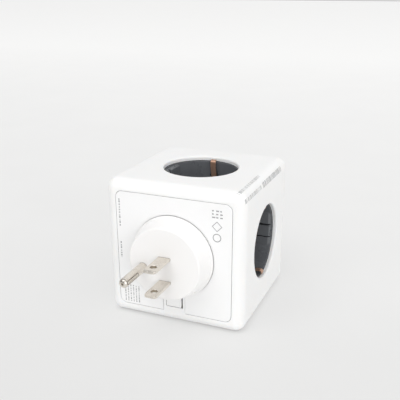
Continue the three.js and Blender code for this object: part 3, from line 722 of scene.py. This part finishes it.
def blade(z):
    """A flat strip with a wide root, a pierced hole, rounded tip corners and a thinned tip."""
    root = FACE - PLUG_WALL - GAP
    tip = FACE + BLADE_LENGTH
    levels = []
    for height in (root - ROOT_LENGTH, root):
        levels.append((rectangle(BLADE_ROOT_HALF, BLADE_HALF_THICK, 0.2), height))
    for height in (root, FACE + 1, tip - BLADE_THINNING):
        levels.append((rectangle(BLADE_HALF_WIDTH, BLADE_HALF_THICK, 0.22), height))
    for k in range(1, BLADE_TIP_STEPS + 1):
        angle = math.pi / 2 * k / BLADE_TIP_STEPS
        height = tip - BLADE_CORNER * (1 - math.sin(angle))
        width = BLADE_HALF_WIDTH - BLADE_CORNER * (1 - math.cos(angle))
        thinned = 1 - (tip - height) / BLADE_THINNING
        levels.append((rectangle(width, BLADE_HALF_THICK - BLADE_TIP_LOSS * thinned, 0.2), height))
    hole = moved(placed(blade_hole(), Matrix.Rotation(math.pi / 2, 4, "X")), z=FACE + BLADE_HOLE_AT)
    return placed(moved(cut(lofted(levels), hole), x=BLADE_X, y=z), side_turn("front"))


def blade_hole():
    """A pierced hole's cutter along Z, flared a little at both faces."""
    mouth = BLADE_HOLE + BLADE_HOLE_FLARE
    face = BLADE_HALF_THICK
    half = [(BLADE_HOLE, face - BLADE_HOLE_FLARE), (mouth, face), (mouth, face + 1), (0, face + 1)]
    return turned([(radius, -height) for radius, height in half[::-1]] + half, SMALL_ROUND)


def ground_pin():
    """A pin rolled from sheet: a domed tip with a dimple, and a seam along most of its length."""
    shoulder = -PLUG_WALL - GAP
    root = shoulder - ROOT_LENGTH
    collar = GROUND_RADIUS + GROUND_COLLAR
    profile = [
        (0, root, 0),
        (collar, root, 0.2),
        (collar, shoulder, 0.2),
        (GROUND_RADIUS, shoulder, 0),
        (GROUND_RADIUS, GROUND_LENGTH - 0.1, 1.75),
        (DIMPLE + 0.15, GROUND_LENGTH, 0.25),
        (DIMPLE, GROUND_LENGTH - DIMPLE_DEPTH, 0.15),
        (0, GROUND_LENGTH - DIMPLE_DEPTH - 0.05, 0),
    ]
    rod = turned(rounded(profile, closed=False), 2 * SMALL_ROUND)
    return placed(moved(cut(rod, pin_seam()), GROUND_X, GROUND_Z, FACE), side_turn("front"))


def pin_seam():
    """The cutter for the seam: a long, thin, round-ended ring sunk into the pin's side."""
    middle = GROUND_LENGTH - PIN_SEAM_AT
    loops = [rectangle(0.98, 5.6, 0.9, 0, middle), rectangle(0.7, 5.3, 0.65, 0, middle)]
    upright = Matrix((Y, Z, X)).transposed().to_4x4()
    ring = placed(slab(loops, -PIN_SEAM_DEPTH, PIN_SEAM_DEPTH), upright)
    return placed(moved(ring, x=GROUND_RADIUS), Matrix.Rotation(PIN_SEAM_TURN, 4, "Z"))


# ---------------------------------------------------------------- latch
def release_button():
    """The pressed face, a flange that keeps it in its slot, and the wedge that pushes the bolt down."""
    middle = (BUTTON_LOW.z + BUTTON_HIGH.z) / 2
    tall = (BUTTON_HIGH.z - BUTTON_LOW.z) / 2
    back = BUTTON_BACK
    tip = back - WEDGE
    face = slab([rectangle(BUTTON_FACE, tall, 0.5, BUTTON_SHIFT, middle)], back, HALF, 0, BUTTON_RIM)
    flange = slab([rectangle(BUTTON_HIGH.x, tall, 0.4, 0, middle)], back, back + BUTTON_FLANGE, 0.2, 0.2)
    top = BUTTON_HIGH.z - WEDGE_DROP
    root = back + EMBED / 2
    wedge = rounded([(root, top, 0), (root, top - WEDGE, 0), (back, top - WEDGE, 0), (tip, top, 0.3)])
    upright = Matrix((Z, Y, -X)).transposed().to_4x4()
    ramp = placed(slab([wedge], -WEDGE_HALF, WEDGE_HALF, 0.2, 0.2), upright)
    return placed(joined(face, flange, ramp), side_turn("front"))


def latch_spring():
    """An upright coil under the latch bolt."""
    radius = (SPRING_HIGH.x - SPRING_LOW.x) / 2 - SPRING_WIRE
    middle_y = (SPRING_LOW.y + SPRING_HIGH.y) / 2
    low, high = SPRING_LOW.z + SPRING_WIRE, SPRING_HIGH.z - SPRING_WIRE
    steps = SPRING_TURNS * SMALL_ROUND
    path = []
    for k in range(steps + 1):
        angle = 2 * math.pi * k / SMALL_ROUND
        x, y = radius * math.cos(angle), middle_y + radius * math.sin(angle)
        path.append(Vector((x, y, low + (high - low) * k / steps)))
    return swept(path, circle(SPRING_WIRE, segments=WIRE_ROUND), Z)


def screw(node, head_radius, shank_radius):
    """A pan-head screw with a cross recess; its head faces +Y, the cube's rear."""
    low, high = span(node)
    length = high.y - low.y
    profile = [
        (0, 0, 0),
        (head_radius - 0.5, 0, 0.6),
        (head_radius, -SCREW_HEAD, 0.2),
        (shank_radius, -SCREW_HEAD, 0),
        (shank_radius, 0.6 - length, 0.2),
        (0, -length, 0),
    ]
    body = turned(rounded(profile, closed=False), SMALL_ROUND)
    arms = ((CROSS_LONG, CROSS_WIDE), (CROSS_WIDE, CROSS_LONG))
    wings = [slab([rectangle(*arm, 0.1)], -CROSS_DEPTH, 1) for arm in arms]
    middle = (low + high) / 2
    outward = Matrix((X, -Z, Y)).transposed().to_4x4()
    return placed(placed(cut(body, *wings), outward), Matrix.Translation((middle.x, high.y, middle.z)))


# ---------------------------------------------------------------- materials
class Nodes:
    """A node tree. Each method but feed and add returns the socket that carries its nodes' result."""

    def __init__(self, tree):
        self.tree = tree

    def feed(self, socket, value):
        if isinstance(value, bpy.types.NodeSocket):
            self.tree.links.new(value, socket)
        else:
            socket.default_value = value

    def add(self, kind, inputs=(), **settings):
        made = self.tree.nodes.new(kind)
        for key, value in settings.items():
            setattr(made, key, value)
        for key, value in dict(inputs).items():
            self.feed(made.inputs[key], value)
        return made

    def maths(self, operation, *values):
        return self.add("ShaderNodeMath", enumerate(values), operation=operation).outputs[0]

    def remap(self, value, low, high, to_low, to_high):
        inputs = {"Value": value, "From Min": low, "From Max": high, "To Min": to_low, "To Max": to_high}
        return self.add("ShaderNodeMapRange", inputs).outputs[0]


class Look(Nodes):
    """A procedural material."""

    def __init__(self, name):
        self.material = bpy.data.materials.new(name)
        self.material.use_nodes = True
        super().__init__(self.material.node_tree)
        self.surface = self.tree.nodes["Principled BSDF"]
        self.here = self.add("ShaderNodeTexCoord").outputs["Object"]

    def set(self, **values):
        for key, value in values.items():
            self.feed(self.surface.inputs[key.replace("_", " ")], value)

    def noise(self, size, detail, stretch=(1, 1, 1), roughness=0.5):
        """Smooth noise with features of a size in millimetres, longer along an axis with a small stretch."""
        scaled = self.add("ShaderNodeMapping", {"Vector": self.here, "Scale": stretch}).outputs[0]
        inputs = {"Vector": scaled, "Scale": 1 / (size * MM), "Detail": detail, "Roughness": roughness}
        return self.add("ShaderNodeTexNoise", inputs).outputs["Fac"]

    def mix(self, share, first, second):
        node = self.add("ShaderNodeMix", data_type="RGBA")
        self.feed(node.inputs["Factor"], share)
        for index, colour in ((6, first), (7, second)):
            plain = not isinstance(colour, bpy.types.NodeSocket)
            self.feed(node.inputs[index], (*colour, 1) if plain else colour)
        return node.outputs[2]

    def bump(self, height, depth, normal=None):
        """Raises the surface by height times a depth in millimetres."""
        inputs = {"Height": height, "Distance": depth * MM, "Strength": 1.0}
        if normal:
            inputs["Normal"] = normal
        return self.add("ShaderNodeBump", inputs).outputs[0]

    def edges(self, width):
        """1 on edges and 0 on flats, from the angle between the surface and its own rounded copy."""
        soft = self.add("ShaderNodeBevel", {"Radius": width * MM}, samples=4).outputs[0]
        true = self.add("ShaderNodeNewGeometry").outputs["Normal"]
        facing = self.add("ShaderNodeVectorMath", {0: soft, 1: true}, operation="DOT_PRODUCT")
        return self.remap(facing.outputs["Value"], 1.0, 0.85, 0.0, 1.0)

    def crevices(self, reach, start):
        """1 deep in a hole or groove and 0 in the open; start is the openness below which it sets in."""
        openness = self.add("ShaderNodeAmbientOcclusion", {"Distance": reach * MM}, samples=6).outputs["AO"]
        return self.remap(openness, start, start - 0.5, 0.0, 1.0)

    def from_centre(self):
        """The point in millimetres from the cube's centre, as three sockets."""
        inputs = {"Vector": self.here, "Location": [-v / MM for v in CENTRE], "Scale": (1 / MM,) * 3}
        point = self.add("ShaderNodeMapping", inputs).outputs[0]
        return self.add("ShaderNodeSeparateXYZ", {0: point}).outputs

    def distance(self, flat_point, middle):
        """The distance in a plane between two sockets' point and a fixed one."""
        squares = [self.maths("POWER", self.maths("SUBTRACT", v, m), 2) for v, m in zip(flat_point, middle)]
        return self.maths("SQRT", self.maths("ADD", *squares))

    def between(self, value, low, high):
        above = self.maths("GREATER_THAN", value, low)
        return self.maths("MULTIPLY", above, self.maths("LESS_THAN", value, high))

    def every(self, *masks):
        product = masks[0]
        for mask in masks[1:]:
            product = self.maths("MULTIPLY", product, mask)
        return product

    def dashes(self, along, across, reach, band, lines, pitch, share, seed):
        """Rows of short printed dashes: reach bounds them along, band across, and share is a row's height."""
        row_height = (band[1] - band[0]) / lines
        row = self.maths("DIVIDE", self.maths("SUBTRACT", across, band[0]), row_height)
        in_row = self.between(self.maths("FRACT", row), 0.5 - share / 2, 0.5 + share / 2)
        step = self.maths("DIVIDE", along, pitch)
        row_start = self.maths("MULTIPLY", self.maths("FLOOR", row), 37.0)
        cell = self.maths("ADD", self.maths("FLOOR", step), row_start)
        draw = {"W": self.maths("ADD", cell, seed)}
        chance = self.add("ShaderNodeTexWhiteNoise", draw, noise_dimensions="1D")
        length = self.maths("MULTIPLY_ADD", chance.outputs["Value"], 0.55, 0.3)
        on = self.maths("LESS_THAN", self.maths("FRACT", step), length)
        return self.every(in_row, on, self.between(along, *reach), self.between(across, *band))

    def outline_mark(self, x, z, middle, size, line, power):
        """A printed outline round a middle: power 2 is a ring, 1 a diamond."""
        parts = []
        for value, centre in zip((x, z), middle):
            away = self.maths("ABSOLUTE", self.maths("SUBTRACT", value, centre))
            parts.append(self.maths("POWER", away, power))
        reach = self.maths("POWER", self.maths("ADD", *parts), 1 / power)
        return self.between(reach, size - line, size)


def white_plastic(name, colour, translucency, painted_shade, inked=None):
    """Moulded plastic with faint specks, and painted shade that darkens its holes, seams and corners by the
    given strength.
    """
    look = Look(name)
    broad = look.remap(look.noise(28, 2), 0.3, 0.7, 0.0, 1.0)
    tone = look.mix(broad, colour, [v * 0.985 for v in colour])
    specks = look.remap(look.noise(1.1, 3), 0.62, 0.8, 0.0, 0.05)
    tone = look.mix(specks, tone, (0.62, 0.6, 0.57))
    worn = look.every(look.edges(0.35), look.remap(look.noise(2.5, 3), 0.4, 0.65, 0.0, 0.25))
    tone = look.mix(worn, tone, (0.8, 0.79, 0.77))
    if inked:
        tone = look.mix(look.maths("MULTIPLY", inked(look), 0.9), tone, (0.28, 0.28, 0.29))
    # painted shade: holes, seams and corners darkened towards dark grey where little light reaches them
    tone = look.mix(look.maths("MULTIPLY", look.crevices(2, 0.45), painted_shade), tone, (0.1, 0.1, 0.1))
    look.set(Base_Color=tone)
    look.set(Roughness=look.remap(look.noise(9, 3), 0.3, 0.7, 0.4, 0.5))
    look.set(Subsurface_Weight=translucency, Subsurface_Radius=(1, 0.9, 0.8), Subsurface_Scale=MM)
    wave = look.bump(look.noise(7, 1), 0.015)
    look.set(Normal=look.bump(look.noise(0.22, 2), 0.006, wave))
    return look.material


def housing_ink(look):
    """Two rows of dashes along the cube's upper right edge."""
    x, y, z = look.from_centre()
    across = look.maths("MULTIPLY", look.maths("SUBTRACT", x, z), math.sqrt(0.5))
    upper = look.dashes(y, across, (-35, -5), (-3.2, -1.6), 1, 1.1, 0.95, 3.0)
    lower = look.dashes(y, across, (-35, -11), (1.6, 3.5), 1, 1.2, 0.95, 11.0)
    bold = look.dashes(y, across, (-9, 24), (1.2, 3.8), 1, 1.3, 1.0, 23.0)
    fine = look.maths("MULTIPLY", look.maths("MAXIMUM", upper, lower), 0.75)
    all_rows = look.maths("MAXIMUM", fine, bold)
    return look.every(all_rows, look.maths("GREATER_THAN", look.maths("ADD", x, z), 66.0))


def plate_ink(look):
    """Small generic marks: dashes, a diamond and a ring at the upper right, and fine rows at the left."""
    x, y, z = look.from_centre()
    marks = [
        look.dashes(x, z, (20.5, 26.5), (23.4, 28.4), 3, 2.1, 0.4, 5.0),
        look.outline_mark(x, z, (23.6, 19.6), 2.7, 0.5, 1),
        look.outline_mark(x, z, (23.6, 13.8), 2.2, 0.45, 2),
        look.dashes(z, x, (12.5, 27.5), (-29.9, -29.1), 1, 1.4, 0.9, 7.0),
        look.dashes(z, x, (-5, 4), (-29.9, -29.1), 1, 1.4, 0.9, 13.0),
        look.dashes(z, x, (-30, -20), (-29, -19.5), 6, 1.0, 0.42, 17.0),
    ]
    ink = marks[0]
    for mark in marks[1:]:
        ink = look.maths("MAXIMUM", ink, mark)
    return ink


def dark_plastic(name, colour, roughness):
    """Dark moulded plastic with a little dust, rubbed edges and darker hollows."""
    look = Look(name)
    tone = look.mix(look.remap(look.noise(12, 3), 0.3, 0.7, 0, 1), colour, [v * 0.86 for v in colour])
    dust = look.remap(look.noise(0.7, 3), 0.6, 0.8, 0.0, 0.12)
    tone = look.mix(dust, tone, (0.3, 0.3, 0.29))
    rubbed = look.every(look.edges(0.3), look.remap(look.noise(2, 3), 0.35, 0.7, 0.1, 0.6))
    tone = look.mix(rubbed, tone, [min(1, v * 1.9) for v in colour])
    shaded = look.crevices(1.6, 0.75)
    look.set(Base_Color=look.mix(shaded, tone, [v * 0.2 for v in colour]))
    look.set(Specular_IOR_Level=look.remap(shaded, 0, 1, 0.4, 0.05))
    look.set(Roughness=look.remap(look.noise(5, 3), 0.3, 0.7, roughness - 0.06, roughness + 0.06))
    look.set(Normal=look.bump(look.noise(0.3, 3), 0.012))
    return look.material


def metal(name, colour, dull, roughness, metallic=1.0, shade_mask=None):
    """Metal with dull patches, fine scratches along one axis, painted shade in its crevices and brighter
    rubbed edges; a mask, if given, adds more painted shade in the hollows it picks out.
    """
    look = Look(name)
    patches = look.remap(look.noise(3.5, 3), 0.3, 0.75, 0.0, 1.0)
    tone = look.mix(patches, colour, dull)
    bright = look.maths("MULTIPLY", look.edges(0.15), 0.4)
    tone = look.mix(bright, tone, [min(1, v * 1.15) for v in colour])
    # painted shade: crevices darkened towards a dark dull tone where little light reaches them
    painted_shade = look.maths("MULTIPLY", look.crevices(1.2, 0.7), 0.5)
    tone = look.mix(painted_shade, tone, [v * 0.3 for v in dull])
    # painted shade: the hollows the mask picks out, such as holes and dimples, darkened to a dark brownish
    # grey
    if shade_mask:
        tone = look.mix(shade_mask(look), tone, (0.36, 0.31, 0.24))
    look.set(Base_Color=tone, Metallic=metallic)
    scratches = look.noise(0.25, 3, (1, 0.06, 1), 0.6)
    rough = look.remap(patches, 0, 1, roughness, roughness + 0.08)
    look.set(Roughness=look.maths("ADD", rough, look.remap(scratches, 0.4, 0.7, -0.02, 0.06)))
    look.set(Normal=look.bump(scratches, 0.003, look.bump(look.noise(2.2, 2), 0.008)))
    return look.material


def painted_hole_shade(look):
    """Where painted shade darkens the inside of the blades' holes and the ground pin's dimple."""
    x, y, z = look.from_centre()
    from_hole = look.distance((x, y), (BLADE_X, -FACE - BLADE_HOLE_AT))
    from_pin = look.distance((x, z), (GROUND_X, GROUND_Z))
    return look.maths("MAXIMUM", look.maths("LESS_THAN", from_hole, BLADE_HOLE + 0.05),
                      look.maths("LESS_THAN", from_pin, DIMPLE))


def materials():
    return {
        "shell_white": white_plastic("shell_white", (0.9, 0.9, 0.895), 0.05, 0.6),
        "housing_white": white_plastic("housing_white", (0.9, 0.9, 0.895), 0.3, 0.9, housing_ink),
        "plate_white": white_plastic("plate_white", (0.9, 0.9, 0.9), 0.05, 0.5, plate_ink),
        "plug_white": white_plastic("plug_white", (0.9, 0.89, 0.883), 0.05, 0.4),
        "well_grey": dark_plastic("well_grey", (0.135, 0.142, 0.152), 0.3),
        "shutter_grey": dark_plastic("shutter_grey", (0.14, 0.145, 0.15), 0.45),
        "carrier_black": dark_plastic("carrier_black", (0.03, 0.031, 0.033), 0.5),
        "earth_copper": metal("earth_copper", (0.62, 0.4, 0.29), (0.46, 0.27, 0.18), 0.28, 0.65),
        "contact_brass": metal("contact_brass", (0.78, 0.6, 0.27), (0.6, 0.43, 0.18), 0.28),
        "nickel": metal("nickel", (0.81, 0.765, 0.7), (0.72, 0.675, 0.61), 0.2, 1.0, painted_hole_shade),
        "steel": metal("steel", (0.62, 0.63, 0.64), (0.5, 0.51, 0.53), 0.26),
    }


MATERIALS = materials()
OWN_MATERIAL = {"housing": "housing_white", "plug_face_plate": "plate_white"}


# ---------------------------------------------------------------- pieces
def smooth(mesh):
    mesh.polygons.foreach_set("use_smooth", [True] * len(mesh.polygons))
    mesh.set_sharp_from_angle(angle=SHARP_ANGLE)


def finish_piece(node, bm):
    """Puts a fine solid, drawn in millimetres from the cube's centre, in the place of its CAD node."""
    placed(bm, Matrix.Translation(CENTRE) @ Matrix.Scale(MM, 4))
    made = as_object(bm, node + "_fine")
    smooth(made.data)
    weighted = made.modifiers.new("flat_sides", "WEIGHTED_NORMAL")
    weighted.keep_sharp = True
    made.data.materials.append(MATERIALS[OWN_MATERIAL.get(node, SLOT_OF[node])])
    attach(made, BODY_OF[node])
    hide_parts(node)
    return made


def finish_cad_node(node, mesh_object):
    """A CAD piece whose shape is right gets softened edges and its material."""
    mesh_object.data.materials.clear()
    mesh_object.data.materials.append(MATERIALS[SLOT_OF[node]])
    smooth(mesh_object.data)
    weld = mesh_object.modifiers.new("shared_corners", "WELD")
    weld.merge_threshold = CAD_WELD * MM
    bevel = mesh_object.modifiers.new("soft_edges", "BEVEL")
    bevel.width = CAD_BEVEL * MM
    bevel.segments = 2
    bevel.limit_method = "ANGLE"
    bevel.angle_limit = CAD_BEVEL_ANGLE
    weighted = mesh_object.modifiers.new("flat_sides", "WEIGHTED_NORMAL")
    weighted.keep_sharp = True


def build():
    """Draws the pieces that need a finer shape than the CAD's, and finishes the CAD's own for the rest."""
    finish_piece("housing", housing())
    finish_piece("plug_face_plate", plate())
    for make, kind in ((well, "well"), (shutter, "shutter"), (earth_clip, "earth_clip")):
        drawn = make()
        for side in SOCKETS:
            finish_piece(f"{kind}_{side}", placed(drawn.copy(), side_turn(side)))
        drawn.free()
    finish_piece("plug_shell", plug_shell())
    finish_piece("line_blade", blade(BLADE_Z[0]))
    finish_piece("neutral_blade", blade(BLADE_Z[1]))
    finish_piece("ground_pin", ground_pin())
    finish_piece("release_button", release_button())
    spring = finish_piece("latch_spring", latch_spring())
    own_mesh(spring)
    for node in ("inlet_screw_left", "inlet_screw_right"):
        finish_piece(node, screw(node, *INLET_SCREW_RADII))
    for node in ("plug_screw_1", "plug_screw_2", "plug_screw_3"):
        finish_piece(node, screw(node, *PLUG_SCREW_RADII))
    for node, mesh_object in frame["nodes"].items():
        if not mesh_object.hide_render:
            finish_cad_node(node, mesh_object)


build()


# ---------------------------------------------------------------- studio
# The floor lies FLOOR_DROP millimetres below the cube, so that the two faces don't meet in one plane. The
# other sizes here are in metres.
FLOOR_DROP = 0.06
FLOOR_REACH = 6.0
SOFTBOX_SIZE = 2.5
SOFTBOX_DISTANCE = 3.0
CAMERA_DISTANCE = 0.3466


def floor_material():
    """A pale floor that glows like a light table, seen only from above, so that the underside can be looked
    at. Its glow is painted light, brighter further back, and a painted contact shadow dims it near the cube.
    """
    look = Look("floor")
    shade = look.remap(look.noise(60, 2), 0.3, 0.7, 0.0, 1.0)
    look.set(Base_Color=look.mix(shade, (0.362, 0.362, 0.36), (0.352, 0.352, 0.35)), Roughness=0.7)
    depth = look.from_centre()[1]
    # painted contact shadow: the floor's glow is dimmed where the cube closes it in
    painted_contact_shadow = look.maths("MULTIPLY", look.crevices(4, 0.8), -0.06)
    # painted light: the floor glows, rising from front to back, so the cube's shadows on it stay faint
    painted_glow = look.maths("ADD", look.remap(depth, -150, 50, 0.4, 0.47), look.remap(depth, 100, 1200, 0, 0.13))
    look.set(Emission_Color=(1.0, 1.0, 0.993, 1.0), Emission_Strength=look.maths("ADD", painted_glow, painted_contact_shadow))
    behind = look.add("ShaderNodeNewGeometry").outputs["Backfacing"]
    clear = look.add("ShaderNodeBsdfTransparent").outputs[0]
    one_sided = look.add("ShaderNodeMixShader", {0: behind, 1: look.surface.outputs[0], 2: clear}).outputs[0]
    look.feed(look.tree.nodes["Material Output"].inputs["Surface"], one_sided)
    return look.material


def floor():
    ground = CENTRE.z - (HALF + FLOOR_DROP) * MM
    bm = bmesh.new()
    square = raised(rectangle(FLOOR_REACH, FLOOR_REACH), ground)
    bm.faces.new([bm.verts.new(point) for point in square])
    made = as_object(bm, "floor")
    made.data.materials.append(floor_material())


def aimed(name, data, azimuth, elevation, distance, roll=0.0):
    """A light or camera that looks at the cube's centre; its angles are in degrees, azimuth 0 in front."""
    a, e = math.radians(azimuth), math.radians(elevation)
    away = Vector((math.sin(a) * math.cos(e), -math.cos(a) * math.cos(e), math.sin(e)))
    made = bpy.data.objects.new(name, data)
    made.location = CENTRE + away * distance
    made.rotation_mode = "QUATERNION"
    turn = Matrix.Rotation(math.radians(roll), 3, "Z").to_quaternion()
    made.rotation_quaternion = away.to_track_quat("Z", "Y") @ turn
    bpy.context.scene.collection.objects.link(made)
    return made


def softbox(name, azimuth, elevation, power):
    """A large square area light."""
    light = bpy.data.lights.new(name, "AREA")
    light.size = SOFTBOX_SIZE
    light.energy = power
    aimed(name, light, azimuth, elevation, SOFTBOX_DISTANCE)


def sky(strength):
    """An even white dome; reflections see it with soft dark and light patches, as in a cluttered studio."""
    world = bpy.data.worlds.new("studio")
    bpy.context.scene.world = world
    world.use_nodes = True
    nodes = Nodes(world.node_tree)
    direction = nodes.add("ShaderNodeTexCoord").outputs["Generated"]
    noise = nodes.add("ShaderNodeTexNoise", {"Vector": direction, "Scale": 1.3, "Detail": 1.0}).outputs["Fac"]
    rearward = nodes.add("ShaderNodeSeparateXYZ", {0: direction}).outputs["Y"]
    patches = nodes.remap(nodes.maths("MULTIPLY_ADD", rearward, 0.18, noise), 0.4, 0.6, 0.25, 1.3)
    glossy = nodes.add("ShaderNodeLightPath").outputs["Is Glossy Ray"]
    tone = nodes.add("ShaderNodeMix", {"Factor": glossy, "A": 1.0, "B": patches}).outputs[0]
    background = world.node_tree.nodes["Background"]
    nodes.feed(background.inputs["Color"], tone)
    nodes.feed(background.inputs["Strength"], strength)


def camera():
    """The camera looks down at the front and right sides, with the cube a little below the middle."""
    data = bpy.data.cameras.new("camera")
    data.sensor_width = 36
    data.lens = 56.15
    data.shift_x = -0.0033
    data.shift_y = 0.078
    data.clip_start = 0.01
    bpy.context.scene.camera = aimed("camera", data, 22.4, 21.75, CAMERA_DISTANCE, roll=-0.14)


floor()
sky(0.66)
softbox("key", -16, 60, 36.0)
softbox("fill", 48, 15, 37.0)
camera()
bpy.context.scene.view_settings.view_transform = "Standard"
